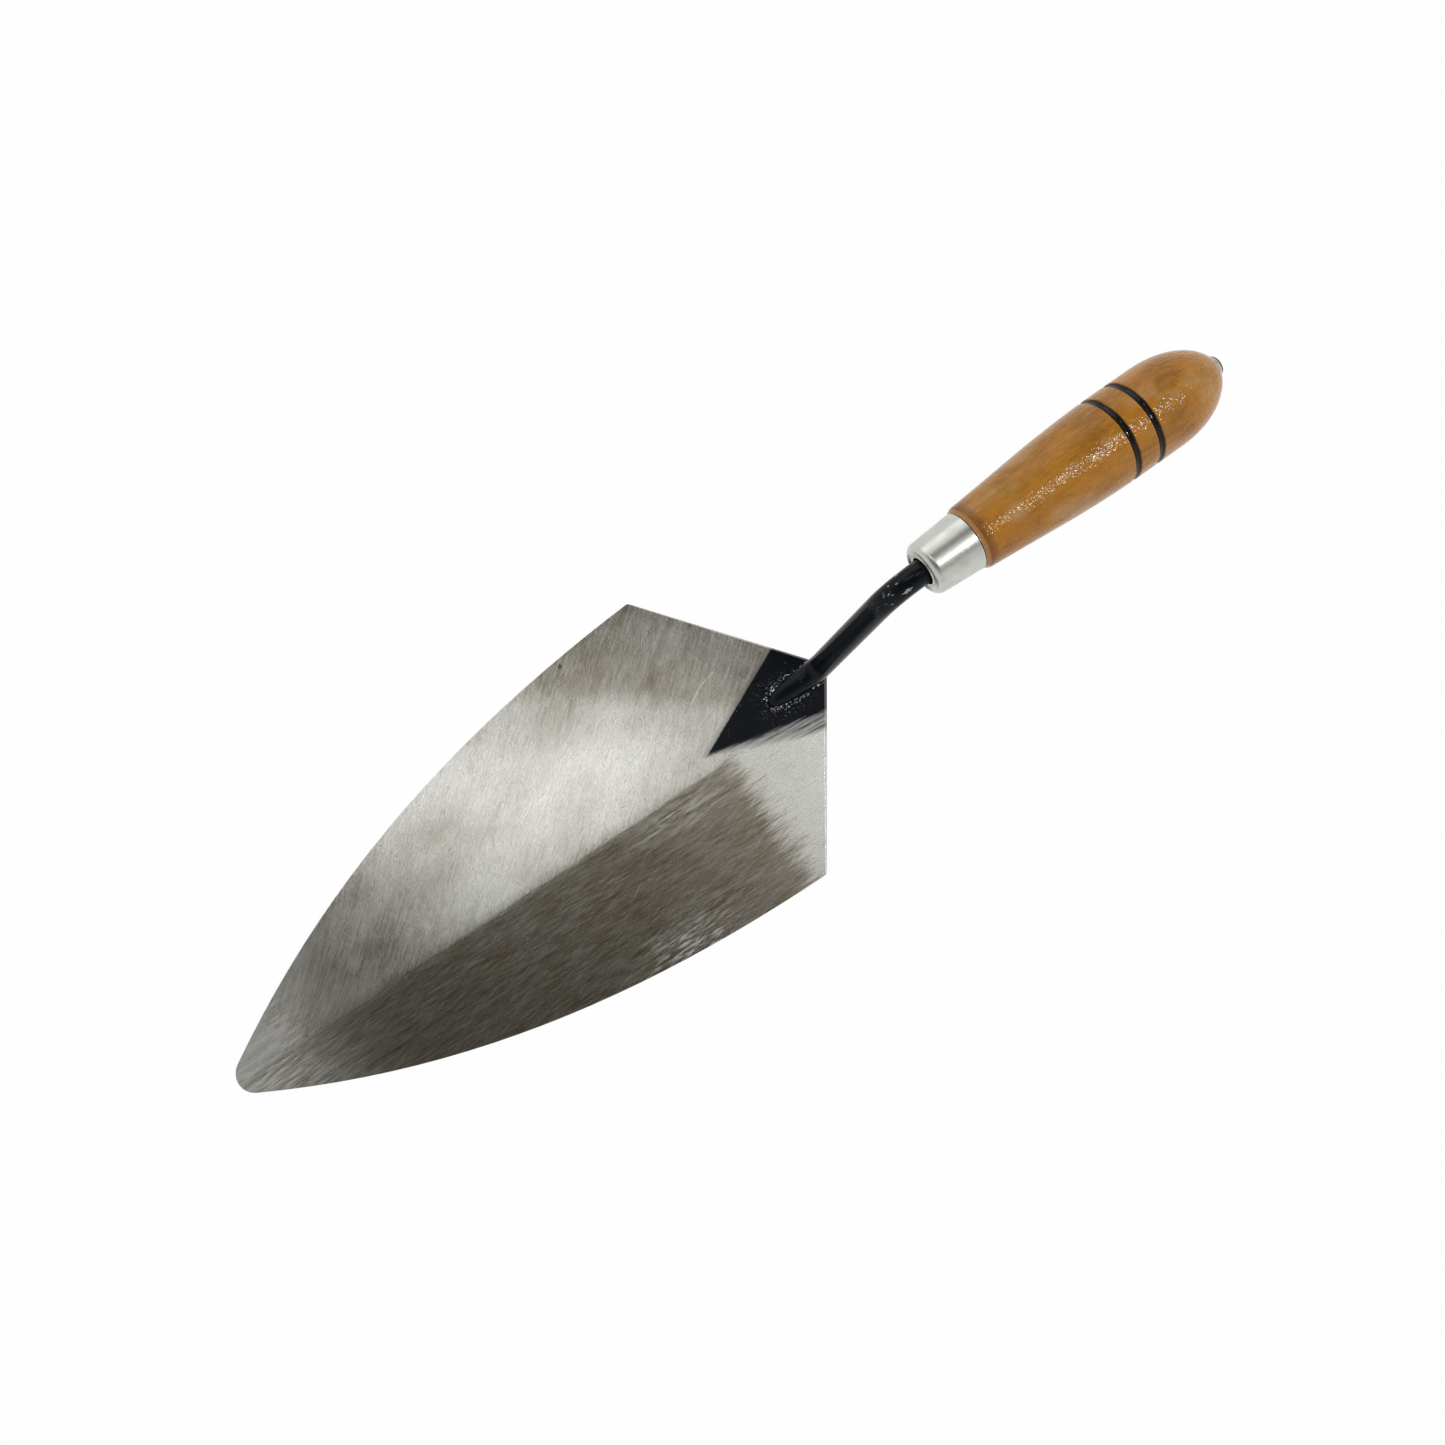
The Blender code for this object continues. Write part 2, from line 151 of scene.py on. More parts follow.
class TrowelColours(bpy.types.PropertyGroup):
    """Colours of the finishes."""

    steel: FloatVectorProperty(
        name="Steel", description="Ground blade steel", default=(0.53, 0.525, 0.495), subtype="COLOR"
    )
    # Dark end of the blade's tone: the half painted dark as the reflection of a dark ceiling, and the darker
    # grain.
    steel_dark: FloatVectorProperty(
        name="Dull steel", description="Oily, dull places", default=(0.165, 0.138, 0.095), subtype="COLOR"
    )
    enamel: FloatVectorProperty(
        name="Enamel", description="Black enamel", default=(0.0035, 0.0050, 0.0085), subtype="COLOR"
    )
    plate: FloatVectorProperty(
        name="Plate", description="Plated steel", default=(0.57, 0.58, 0.545), subtype="COLOR"
    )
    wood: FloatVectorProperty(
        name="Wood", description="Varnished wood", default=(0.42, 0.186, 0.020), subtype="COLOR"
    )
    wood_deep: FloatVectorProperty(
        name="Deep wood", description="Darker grain", default=(0.215, 0.080, 0.010), subtype="COLOR"
    )
    groove: FloatVectorProperty(
        name="Groove paint", description="Paint in the grooves", default=(0.006, 0.004, 0.0035), subtype="COLOR"
    )


def sizes():
    return bpy.context.scene.trowel_sizes


def colours():
    return bpy.context.scene.trowel_colours


# Shader graphs


class Value:
    """A number socket. Operators on it add Math nodes."""

    def __init__(self, graph, socket):
        self.graph = graph
        self.socket = socket

    def __add__(self, other):
        return self.graph.math("ADD", self, other)

    def __sub__(self, other):
        return self.graph.math("SUBTRACT", self, other)

    def __mul__(self, other):
        return self.graph.math("MULTIPLY", self, other)

    def __rsub__(self, other):
        return self.graph.math("SUBTRACT", other, self)

    __radd__ = __add__
    __rmul__ = __mul__


class Graph:
    """One material's nodes, with the Principled shader at its end."""

    def __init__(self, name):
        self.material = bpy.data.materials.new(name)
        self.material.use_nodes = True
        self.tree = self.material.node_tree
        self.shader = self.tree.nodes["Principled BSDF"]

    def connect(self, socket, value):
        if isinstance(value, Value):
            value = value.socket
        if isinstance(value, bpy.types.NodeSocket):
            self.tree.links.new(value, socket)
        else:
            socket.default_value = value

    def node(self, kind, settings=None, **inputs):
        """A node of this type, with its settings made first and then its inputs, by name or _number."""
        made = self.tree.nodes.new(kind)
        for key, value in (settings or {}).items():
            setattr(made, key, value)
        for key, value in inputs.items():
            index = int(key[1:]) if key[0] == "_" else key.replace("_", " ")
            self.connect(made.inputs[index], value)
        return made

    def math(self, operation, first, second=0.0):
        made = self.node("ShaderNodeMath", {"operation": operation}, _0=first, _1=second)
        return Value(self, made.outputs[0])

    def step(self, value, low, high):
        """0 below low, 1 above high, smooth between. Low may be above high."""
        settings = {"interpolation_type": "SMOOTHSTEP"}
        if low <= high:
            made = self.node("ShaderNodeMapRange", settings, _0=value, _1=low, _2=high)
            return Value(self, made.outputs[0])
        made = self.node("ShaderNodeMapRange", settings, _0=value, _1=high, _2=low, _3=1.0, _4=0.0)
        return Value(self, made.outputs[0])

    def near(self, value, centre, reach):
        """1 where value is centre, fading to 0 at reach away."""
        return self.step(self.math("ABSOLUTE", value - centre), reach, 0.0)

    def mix(self, share, first, second):
        settings = {"data_type": "RGBA"}
        made = self.node("ShaderNodeMix", settings, _0=share, _6=colour(first), _7=colour(second))
        return made.outputs[2]

    def coordinates(self, place=(0, 0, 0), turn=(0, 0, 0), scale=(1, 1, 1)):
        """Object coordinates, seen from an origin at place that is turned by turn, then stretched."""
        source = self.node("ShaderNodeTexCoord").outputs["Object"]
        local = self.node(
            "ShaderNodeMapping", {"vector_type": "TEXTURE"}, Vector=source, Location=place, Rotation=turn
        ).outputs[0]
        return self.node("ShaderNodeMapping", Vector=local, Scale=scale).outputs[0]

    def parts(self, vector):
        split = self.node("ShaderNodeSeparateXYZ", Vector=vector)
        return [Value(self, output) for output in split.outputs]

    def noise(self, vector, scale=1.0, detail=3.0, roughness=0.5):
        made = self.node(
            "ShaderNodeTexNoise", Vector=vector, Scale=scale, Detail=detail, Roughness=roughness
        )
        return Value(self, made.outputs[0])

    def specks(self, vector, scale, size):
        """1 in small round spots scattered at this scale."""
        made = self.node("ShaderNodeTexVoronoi", Vector=vector, Scale=scale)
        return self.step(Value(self, made.outputs[0]), size, size * 0.5)

    def bump(self, height, distance, normal=None):
        inputs = {"Height": height, "Distance": distance}
        if normal:
            inputs["Normal"] = normal
        return self.node("ShaderNodeBump", **inputs).outputs[0]

    def finish(self, **inputs):
        for key, value in inputs.items():
            self.connect(self.shader.inputs[key.replace("_", " ")], value)
        return self.material


def colour(value):
    return value if isinstance(value, bpy.types.NodeSocket) else (*tuple(value)[:3], 1)


LEFT_BORDER = math.radians(23.5)
SOLID_BORDER = math.radians(14.5)
SPRAY_BORDER = math.radians(23.5)


RIDGE_DRIFT = 0.04
DRIFT_FADE = (-0.012, 0.016)


def strokes(graph, degrees, length, width, detail=3.0):
    """Grinding strokes that run at an angle to the blade's centre line."""
    stretch = (1 / length, 1 / width, 1 / width)
    return graph.noise(graph.coordinates(turn=(0, 0, math.radians(degrees)), scale=stretch), 1.0, detail, 0.6)


def heel_paint(graph, x, y, z):
    """(paint, haze): where enamel covers the heel of the blade, and the streaky overspray beside it."""
    behind = x + 0.0103
    beside = y + 0.0020
    wobble = (graph.noise(graph.coordinates(scale=(700, 700, 700)), 1.0, 2.0) - 0.5) * 0.0004
    streaks = graph.noise(graph.coordinates(turn=(0, 0, math.radians(-6)), scale=(70, 1100, 1100)), 1.0, 4.0, 0.65)
    left = behind * math.sin(LEFT_BORDER) - beside * math.cos(LEFT_BORDER) + wobble
    solid = beside * math.cos(SOLID_BORDER) + behind * math.sin(SOLID_BORDER)
    spray = beside * math.cos(SPRAY_BORDER) + behind * math.sin(SPRAY_BORDER)
    solid = solid + (streaks - 0.5) * behind * 0.10 + wobble
    spray = spray + (streaks - 0.5) * behind * 0.16
    side = graph.step(left, -0.0002, 0.0003)
    upper = graph.step(z, 0.00002, 0.0001)
    paint = side * graph.step(solid, -0.0008, 0.0010) * upper
    thin = graph.step(streaks, 0.30, 0.66)
    haze = side * graph.step(spray, -0.0012, 0.0030) * upper * (thin * 0.7 + 0.3)
    halo = graph.step(left, -0.0022, 0.0002) * graph.step(spray, -0.001, 0.001) * upper * 0.35
    return paint, graph.math("MAXIMUM", haze * 0.92, halo)


def ground_steel():
    """Blade steel: crossed strokes on one half and ground lengthwise on the other, with a painted reflection that
    makes the first half bright and the other dark, and enamel at the heel.
    """
    graph = Graph("ground_steel")
    x, y, z = graph.parts(graph.coordinates())
    wander = (graph.noise(graph.coordinates(scale=(60, 60, 60)), 1.0, 2.0) - 0.5) * 0.0014
    drift = (x - X_TIP) * RIDGE_DRIFT * graph.step(x, DRIFT_FADE[1], DRIFT_FADE[0])
    beside = y + drift
    top = graph.step(z, 0.00002, 0.0001)
    # Painted reflection: the left half gets a bright tone and the right half a dark one, standing in for a bright
    # strip light and a dark ceiling seen in the two facets.
    right_half = graph.step(beside + wander, 0.0006, -0.0006) * top
    left_half = 1 - right_half

    slanted = strokes(graph, 38, 0.0085, 0.00062) * 0.74 + strokes(graph, -70, 0.0060, 0.00060) * 0.26
    level = strokes(graph, -4, 0.0090, 0.00055) * 0.70 + strokes(graph, 14, 0.0070, 0.00060) * 0.30
    grain = slanted * left_half + level * right_half
    broad = strokes(graph, 42, 0.016, 0.0026) * left_half + strokes(graph, -3, 0.022, 0.0028) * right_half
    cloud = graph.noise(graph.coordinates(scale=(24, 34, 34)), 1.0, 3.0, 0.55)

    ragged_x = x + (level - 0.5) * 0.016 + (broad - 0.5) * 0.008
    # Painted reflection: near the heel the right half also gets the bright tone, with a ragged edge, and its
    # strokes show stronger there.
    heel_reflection = graph.step(ragged_x, -0.010, 0.003) * right_half
    # Painted reflection: the bright half is dimmed towards its far corner and towards the point, where the
    # reflected light does not reach.
    corner_reflection_dim = graph.step(x + y * 1.25, 0.010, 0.028) * left_half * top
    point_reflection_dim = graph.step(x, -0.112, -0.148) * left_half * top
    bright = left_half * 0.82 + heel_reflection * 0.86 + right_half * 0.20 - corner_reflection_dim * 0.40 - point_reflection_dim * 0.40
    clouds = (cloud - 0.5) * (left_half * 1.15 + 0.30)
    bright = bright + clouds + (broad - 0.5) * 0.34 + (grain - 0.5) * (heel_reflection * 1.5 + 1.4)

    rub_grain = graph.noise(graph.coordinates(scale=(120, 1000, 1000)), 1.0, 4.0, 0.7)
    at_tip = graph.step(x, X_TIP + 0.040, X_TIP + 0.006)
    at_ridge = graph.near(beside + 0.006, 0.0, 0.008) * graph.near(x, -0.030, 0.030) * right_half
    at_edge = graph.step(y, -0.036, -0.056) * graph.near(x, -0.055, 0.030)
    rubbed = graph.math("MAXIMUM", at_tip * 0.45, graph.math("MAXIMUM", at_ridge, at_edge))
    rubbed = rubbed * graph.step(rub_grain, 0.48, 0.62)
    worn_tip = graph.step(x, X_TIP + 0.062, X_TIP - 0.016) * (graph.step(rub_grain, 0.30, 0.66) * 0.4 + 0.75)
    bright = bright + rubbed * 0.75 + worn_tip * 0.80

    stray = graph.noise(graph.coordinates(turn=(0, 0, math.radians(28)), scale=(26, 2600, 2600)), 1.0, 1.0)
    scratch = graph.step(stray, 0.74, 0.765)
    pits = graph.specks(graph.coordinates(), 240.0, 0.085)
    steel = graph.mix(bright, colours().steel_dark, colours().steel)
    steel = graph.mix(pits * 0.7, steel, (0.07, 0.055, 0.04))
    steel = graph.mix(scratch * 0.4, steel, (0.80, 0.80, 0.78))
    nick_x, nick_y, _ = graph.parts(graph.coordinates((0.003, 0.0203, 0), (0, 0, math.radians(21))))
    bent = nick_y + graph.math("ABSOLUTE", nick_x) * 0.12
    nick = graph.near(bent, 0.0, 0.00022) * graph.step(graph.math("ABSOLUTE", nick_x), 0.0085, 0.0065) * top
    steel = graph.mix(nick * 0.8, steel, (0.86, 0.82, 0.74))
    # Painted shade: a dark round spot stands for the shade in a small hollow; the shape has no such hollow.
    dent_shade = graph.step(graph.node(
        "ShaderNodeVectorMath", {"operation": "LENGTH"},
        Vector=graph.coordinates((-0.034, 0.0565, 0.002), scale=(1, 1, 0)),
    ).outputs["Value"], 0.0011, 0.0004)
    steel = graph.mix(dent_shade * 0.85, steel, (0.035, 0.03, 0.025))

    paint, haze = heel_paint(graph, x, y, z)
    steel = graph.mix(haze, steel, (0.026, 0.035, 0.038))
    base = graph.mix(paint, steel, colours().enamel)
    dust = graph.specks(graph.coordinates(), 420.0, 0.10) * paint
    base = graph.mix(dust * 0.7, base, (0.35, 0.37, 0.38))

    metallic = (1 - paint) * (1 - haze * 0.6)
    splash = graph.near(x, 0.026, 0.015) * graph.near(y, 0.0, 0.011) * paint
    chips = graph.step(graph.noise(graph.coordinates(), 1500.0, 3.0, 0.7), 0.59, 0.64) * splash
    base = graph.mix(chips * 0.8, base, (0.42, 0.44, 0.44))
    dull = 0.27 + (grain - 0.5) * 0.16 + rubbed * 0.34 + worn_tip * 0.30
    roughness = dull * (1 - paint) + paint * 0.20 + haze * 0.12
    ground = graph.bump((grain * 0.8 + broad * 0.5) * (1 - paint * 0.85), 0.00004)
    lumps = graph.noise(graph.coordinates(scale=(420, 420, 420)), 1.0, 2.0)
    normal = graph.bump(lumps * paint + dust * 0.5 + chips * 0.6, 0.00004, ground)
    return graph.finish(
        Base_Color=base, Metallic=metallic, Roughness=roughness, Normal=normal, Specular_IOR_Level=0.08
    )


def black_enamel(name, lump_scale, lump_depth, glint_amount):
    """Thick gloss enamel over a rough bar or weld, with light spots and streaks near the ferrule painted as
    highlights, and unpainted metal where the tang is riveted.
    """
    graph = Graph(name)
    where = graph.coordinates()
    along, _, _ = graph.parts(graph.coordinates(AXIS.front, (0, AXIS.drop, 0)))
    lumps = graph.noise(where, lump_scale, 4.0, 0.6)
    runs = graph.noise(graph.coordinates(scale=(180, 420, 180)), 1.0, 2.0)
    near_ferrule = graph.near(along, -0.007, 0.014)
    # Painted highlights: white streaks near the ferrule, and light grey spots over the enamel, stand in for the
    # glints of light on the glossy bar and the lumpy weld.
    highlight_streak_noise = graph.noise(graph.coordinates(AXIS.front, (0, AXIS.drop, 0), (170, 640, 640)), 1.0, 2.0, 0.6)
    highlight_streaks = graph.step(highlight_streak_noise, 0.615, 0.64) * near_ferrule
    glint = graph.step(graph.noise(where, 800.0, 3.0, 0.7), 0.71 - glint_amount * 0.32, 0.75 - glint_amount * 0.32)
    glint = graph.math("MAXIMUM", glint, highlight_streaks)
    riveted = graph.step(along, HANDLE_END - 0.0004, HANDLE_END)
    base = graph.mix(glint * (0.55 + glint_amount), colours().enamel, (0.62, 0.63, 0.62))
    base = graph.mix(riveted, base, (0.55, 0.58, 0.50))
    roughness = 0.10 + runs * 0.12 + glint * 0.2
    normal = graph.bump(lumps * 0.6 + runs * 0.4 + glint * 0.3, lump_depth)
    return graph.finish(
        Base_Color=base, Roughness=roughness, Metallic=riveted, Normal=normal, Specular_IOR_Level=0.14
    )


def plated_steel():
    """Satin zinc plate, drawn along the ferrule, with handling smudges."""
    graph = Graph("zinc_plate")
    turn = (0, AXIS.drop, 0)
    smudge = graph.noise(graph.coordinates(AXIS.front, turn, (160, 260, 260)), 1.0, 4.0, 0.6)
    drawn = graph.noise(graph.coordinates(AXIS.front, turn, (60, 2400, 2400)), 1.0, 2.0)
    rings = graph.noise(graph.coordinates(AXIS.front, turn, (2600, 40, 40)), 1.0, 2.0)
    base = graph.mix(graph.step(smudge, 0.40, 0.72), colours().plate, (0.50, 0.51, 0.46))
    pits = graph.specks(graph.coordinates(), 900.0, 0.11)
    base = graph.mix(pits * 0.5, base, (0.2, 0.2, 0.17))
    roughness = 0.22 + smudge * 0.16
    normal = graph.bump(drawn * 0.25 + rings * 0.05 + smudge * 0.9, 0.00006)
    return graph.finish(Base_Color=base, Metallic=1.0, Roughness=roughness, Normal=normal)


def varnished_wood():
    """Turned hardwood under gloss varnish, with black paint in its two grooves."""
    graph = Graph("turned_wood")
    turn = (0, AXIS.drop, 0)
    along, _, _ = graph.parts(graph.coordinates(AXIS.front, turn))
    fibres = graph.noise(graph.coordinates(AXIS.front, turn, (130, 1000, 1000)), 1.0, 4.0, 0.6)
    figure = graph.noise(graph.coordinates(AXIS.front, turn, (48, 105, 105)), 1.0, 4.0, 0.65)
    mottle = graph.noise(graph.coordinates(AXIS.front, turn, (330, 520, 520)), 1.0, 4.0, 0.65)
    pores = graph.noise(graph.coordinates(AXIS.front, turn, (420, 2600, 2600)), 1.0, 2.0)
    deep = graph.step(figure, 0.38, 0.66) * 0.50 + graph.step(fibres, 0.36, 0.66) * 0.30
    deep = deep + (mottle - 0.5) * 0.80
    wood = graph.mix(deep, colours().wood, colours().wood_deep)
    flecks = graph.step(pores, 0.66, 0.74)
    wood = graph.mix(flecks * 0.45, wood, (0.13, 0.045, 0.012))
    warm = graph.step(graph.noise(graph.coordinates(scale=(70, 95, 95)), 1.0, 3.0), 0.44, 0.70)
    wood = graph.mix(warm * 0.55, wood, (0.47, 0.170, 0.018))
    pale_noise = graph.noise(graph.coordinates(scale=(60, 110, 110)), 1.0, 3.0)
    wood = graph.mix(graph.step(pale_noise, 0.52, 0.70) * 0.55, wood, (0.44, 0.265, 0.115))
    shoulder = graph.step(along, SHOULDER_PLACE + 0.0052, SHOULDER_PLACE + 0.0022)
    wood = graph.mix(shoulder * 0.62, wood, (0.17, 0.048, 0.010))
    rim = graph.step(along, SHOULDER_PLACE + 0.0016, SHOULDER_PLACE + 0.0006)
    wood = graph.mix(rim * 0.8, wood, (0.50, 0.26, 0.10))
    painted = 0.0
    wander = (graph.noise(graph.coordinates(scale=(240, 240, 240)), 1.0, 2.0) - 0.5) * 0.0005
    for place in GROOVE_PLACES:
        off = graph.math("ABSOLUTE", along - (SHOULDER_PLACE + place) + wander)
        painted = painted + graph.step(off, sizes().groove_width * 0.46, sizes().groove_width * 0.38)
    base = graph.mix(painted, wood, colours().groove)
    roughness = (0.10 + mottle * 0.12) * (1 - painted) + painted * 0.10
    peel = graph.noise(graph.coordinates(scale=(880, 880, 880)), 1.0, 1.0, 0.5)
    normal = graph.bump(peel * (1 - painted * 0.85), 0.00026)
    return graph.finish(Base_Color=base, Roughness=roughness, Normal=normal, Specular_IOR_Level=0.26)


# Shapes

GROOVE_PLACES = (0.0612, 0.0715)
BUTT_START = 0.083
BUTT_FLAT_RADIUS = 0.0048


def look(name):
    """The finished material of this name, made once."""
    makers = {
        "ground_steel": ground_steel,
        "bar_enamel": lambda: black_enamel("bar_enamel", 420.0, 0.00012, 0.0),
        "weld_enamel": lambda: black_enamel("weld_enamel", 900.0, 0.0002, 0.5),
        "zinc_plate": plated_steel,
        "turned_wood": varnished_wood,
    }
    return bpy.data.materials.get(name) or makers[name]()


def place_piece(name, bm, material_name, node, sharp=math.radians(32)):
    """Makes the object, smooth except at sharp edges, that stands for a node of the frame."""
    mesh = bpy.data.meshes.new(name)
    bm.to_mesh(mesh)
    bm.free()
    mesh.materials.append(look(material_name))
    mesh.shade_smooth()
    mesh.set_sharp_from_angle(angle=sharp)
    piece = bpy.data.objects.new(name, mesh)
    bpy.context.scene.collection.objects.link(piece)
    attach(piece, "root")
    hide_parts(node)
    return piece


def spun(profile, steps, closed=True):
    """A closed solid turned about the handle's axis from (distance, radius) pairs."""
    bm = bmesh.new()
    points = [bm.verts.new((distance, 0, radius)) for distance, radius in profile]
    ends = points[1:] + points[:1] if closed else points[1:]
    edges = [bm.edges.new(pair) for pair in zip(points, ends)]
    bmesh.ops.spin(
        bm, geom=points + edges, cent=(0, 0, 0), axis=(1, 0, 0), angle=math.tau, steps=steps, use_merge=True
    )
    bmesh.ops.remove_doubles(bm, verts=bm.verts, dist=MERGE)
    bmesh.ops.recalc_face_normals(bm, faces=bm.faces)
    bmesh.ops.transform(bm, matrix=AXIS.matrix, verts=bm.verts)
    return bm


def arc(centre, radius, start, end, steps):
    """(distance, radius) pairs on an arc. The angle is measured from straight out."""
    angles = [start + (end - start) * i / steps for i in range(steps + 1)]
    return [(centre[0] + radius * math.sin(a), centre[1] + radius * math.cos(a)) for a in angles]


def rounded_corner(before, corner, after, radius, steps):
    """Points of the arc that rounds a corner of a path."""
    towards_before = (before - corner).normalized()
    towards_after = (after - corner).normalized()
    half_angle = towards_before.angle(towards_after) / 2
    centre = corner + (towards_before + towards_after).normalized() * radius / math.sin(half_angle)
    start = corner + towards_before * radius / math.tan(half_angle) - centre
    normal = start.cross(towards_after).normalized()
    swing = math.pi - 2 * half_angle
    return [centre + Matrix.Rotation(swing * i / steps, 3, normal) @ start for i in range(steps + 1)]


def ridge_height(x):
    """Height of the blade's top on the centre line, from the frame's thickness at the heel."""
    at_tip = 0.0018
    return at_tip + (BLADE_HIGH.z - at_tip) * (x - X_TIP) / (X_HEEL - X_TIP)


class TROWEL_OT_blade(bpy.types.Operator):
    """Make the ground blade with rounded edges and a slightly uneven top"""

    bl_idname = "trowel.blade"
    bl_label = "Blade"

    def execute(self, context):
        bm = bmesh.new()
        bm.from_mesh(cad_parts["blade"].data)
        bmesh.ops.remove_doubles(bm, verts=bm.verts, dist=MERGE)
        bmesh.ops.dissolve_limit(
            bm, angle_limit=math.radians(0.6), use_dissolve_boundaries=False, verts=bm.verts, edges=bm.edges
        )
        rims = [e for e in bm.edges if e.is_manifold and e.calc_face_angle() > math.radians(40)]
        bmesh.ops.bevel(
            bm, geom=rims, offset=sizes().edge_rounding, offset_type="OFFSET", affect="EDGES",
            segments=2, profile=0.5, material=-1, clamp_overlap=True,
        )
        spacing = 0.003
        for normal, low, high in (((1, 0, 0), X_TIP, X_HEEL), ((0, 1, 0), -HALF_WIDTH, HALF_WIDTH)):
            count = int((high - low) / spacing)
            for i in range(1, count):
                place = Vector(normal) * (low + (high - low) * i / count)
                everything = bm.verts[:] + bm.edges[:] + bm.faces[:]
                bmesh.ops.bisect_plane(bm, geom=everything, dist=1e-6, plane_co=place, plane_no=normal)
        for vertex in bm.verts:
            if vertex.co.z > 0.0004:
                inside = self.inside(vertex.co)
                vertex.co.z += self.unevenness(vertex.co) * inside
                vertex.co.y -= self.drift(vertex.co.x) * inside
        place_piece("blade_plate", bm, "ground_steel", "blade", math.radians(3.5))
        return {"FINISHED"}

    def unevenness(self, place):
        """Long shallow waves left by grinding by hand, always downwards."""
        long_wave = noise.noise(Vector((place.x * 26, place.y * 34, 3.1)))
        short_wave = noise.noise(Vector((place.x * 85, place.y * 85, 8.7)))
        return -0.00005 + 0.00004 * long_wave + 0.000008 * short_wave

    def drift(self, x):
        """How far the ground ridge strays to one side between the tip and the foot of the bar."""
        share = (x - DRIFT_FADE[0]) / (DRIFT_FADE[1] - DRIFT_FADE[0])
        share = min(max(share, 0.0), 1.0)
        return (x - X_TIP) * RIDGE_DRIFT * (1 - share * share * (3 - 2 * share))

    def inside(self, place):
        """1 on the centre line, falling to 0 before the blade's outline."""
        from_tip = min(max((place.x - X_TIP) / -X_TIP, 0.0), 1.0)
        from_heel = min(max((X_HEEL - place.x) / (X_HEEL * 1.05), 0.0), 1.0)
        width = HALF_WIDTH * 0.9 * min(math.sin(from_tip * math.pi / 2), from_heel)
        return max(0.0, 1 - abs(place.y) / max(width, 0.004))


class TROWEL_OT_shank(bpy.types.Operator):
    """Make the round bar from its foot to the riveted end of its tang"""

    bl_idname = "trowel.shank"
    bl_label = "Shank"

    def execute(self, context):
        bm = swept(shank_stations(), 40)
        everything = bm.verts[:] + bm.edges[:] + bm.faces[:]
        seat = Vector((X_HEEL, 0, BLADE_HIGH.z - 0.0001))
        climb = (ridge_height(X_HEEL) - ridge_height(X_TIP)) / (X_HEEL - X_TIP)
        cut = bmesh.ops.bisect_plane(
            bm, geom=everything, dist=1e-7, plane_co=seat, plane_no=(climb, 0, -1), clear_outer=True
        )
        rim = [item for item in cut["geom_cut"] if isinstance(item, bmesh.types.BMEdge)]
        bmesh.ops.holes_fill(bm, edges=rim)
        bmesh.ops.recalc_face_normals(bm, faces=bm.faces)
        place_piece("shank_bar", bm, "bar_enamel", "shank")
        return {"FINISHED"}


def shank_stations():
    """(point, direction, radius) along the bar."""
    foot_point, lower_arc, upper_arc = shank_route()
    radius = sizes().bar_radius
    path = []
    foot_steps = 14
    for i in range(foot_steps):
        share = i / foot_steps
        swell = math.sqrt(1 - (1 - share) ** 2)
        path.append((foot_point.lerp(lower_arc[0], share), 0.0009 + (radius - 0.0009) * swell))
    path += [(point, radius) for point in lower_arc]
    start = lower_arc[-1]
    path += [(start.lerp(upper_arc[0], i / 8), radius) for i in range(1, 8)]
    path += [(point, radius) for point in upper_arc]
    rivet_start = WASHER_SPAN[1] + 0.0003
    end_radius = 0.0024
    for i in range(9):
        distance = rivet_start * i / 8
        path.append((AXIS.point(distance), radius + (end_radius - radius) * distance / rivet_start))
    for i in range(7):
        angle = math.radians(4 + 11 * i)
        height = (RIVET_END - rivet_start) * math.sin(angle) / math.sin(math.radians(70))
        path.append((AXIS.point(rivet_start + height), 0.0037 * math.cos(angle)))
    points = [point for point, _ in path]
    directions = []
    for i in range(len(points)):
        before = points[max(i - 1, 0)]
        after = points[min(i + 1, len(points) - 1)]
        directions.append((after - before).normalized())
    return [(point, direction, r) for (point, r), direction in zip(path, directions)]


def shank_route():
    """The foot's point and the arcs of the bar's two bends."""
    rise = sizes().rise_angle
    foot_slope = sizes().foot_slope
    lower = Vector((X_HEEL + 0.001 - 0.0052, 0, 0.0068))
    above = lower + Vector((math.cos(rise), 0, math.sin(rise)))
    line = AXIS.point(0)
    reach = ((line - lower).cross(AXIS.direction)).y / ((above - lower).cross(AXIS.direction)).y
    upper = lower + (above - lower) * reach
    foot_point = lower - Vector((math.cos(foot_slope), 0, math.sin(foot_slope))) * (
        sizes().foot_reach / math.cos(foot_slope)
    )
    lower_arc = rounded_corner(foot_point, lower, upper, 0.010, 14)
    upper_arc = rounded_corner(lower, upper, line, 0.017, 20)
    return foot_point, lower_arc, upper_arc


def swept(stations, sides):
    """A closed round bar through (point, direction, radius) stations."""
    bm = bmesh.new()
    frames = []
    for point, direction, radius in stations:
        side = Vector((0, 1, 0))
        up = direction.cross(side).normalized()
        turn = Matrix((side, up, direction)).transposed().to_4x4()
        frames.append(Matrix.Translation(point) @ turn @ Matrix.Diagonal((radius, radius, 1, 1)))
    bmesh.ops.create_circle(bm, cap_ends=True, radius=1.0, segments=sides, matrix=frames[0])
    ring = bm.edges[:]
    for before, after in zip(frames, frames[1:]):
        grown = bmesh.ops.extrude_edge_only(bm, edges=ring)["geom"]
        new_points = [item for item in grown if isinstance(item, bmesh.types.BMVert)]
        bmesh.ops.transform(bm, matrix=after @ before.inverted(), verts=new_points)
        fresh = set(new_points)
        ring = [e for e in grown if isinstance(e, bmesh.types.BMEdge) and set(e.verts) <= fresh]
    bmesh.ops.contextual_create(bm, geom=ring)
    bmesh.ops.recalc_face_normals(bm, faces=bm.faces)
    return bm


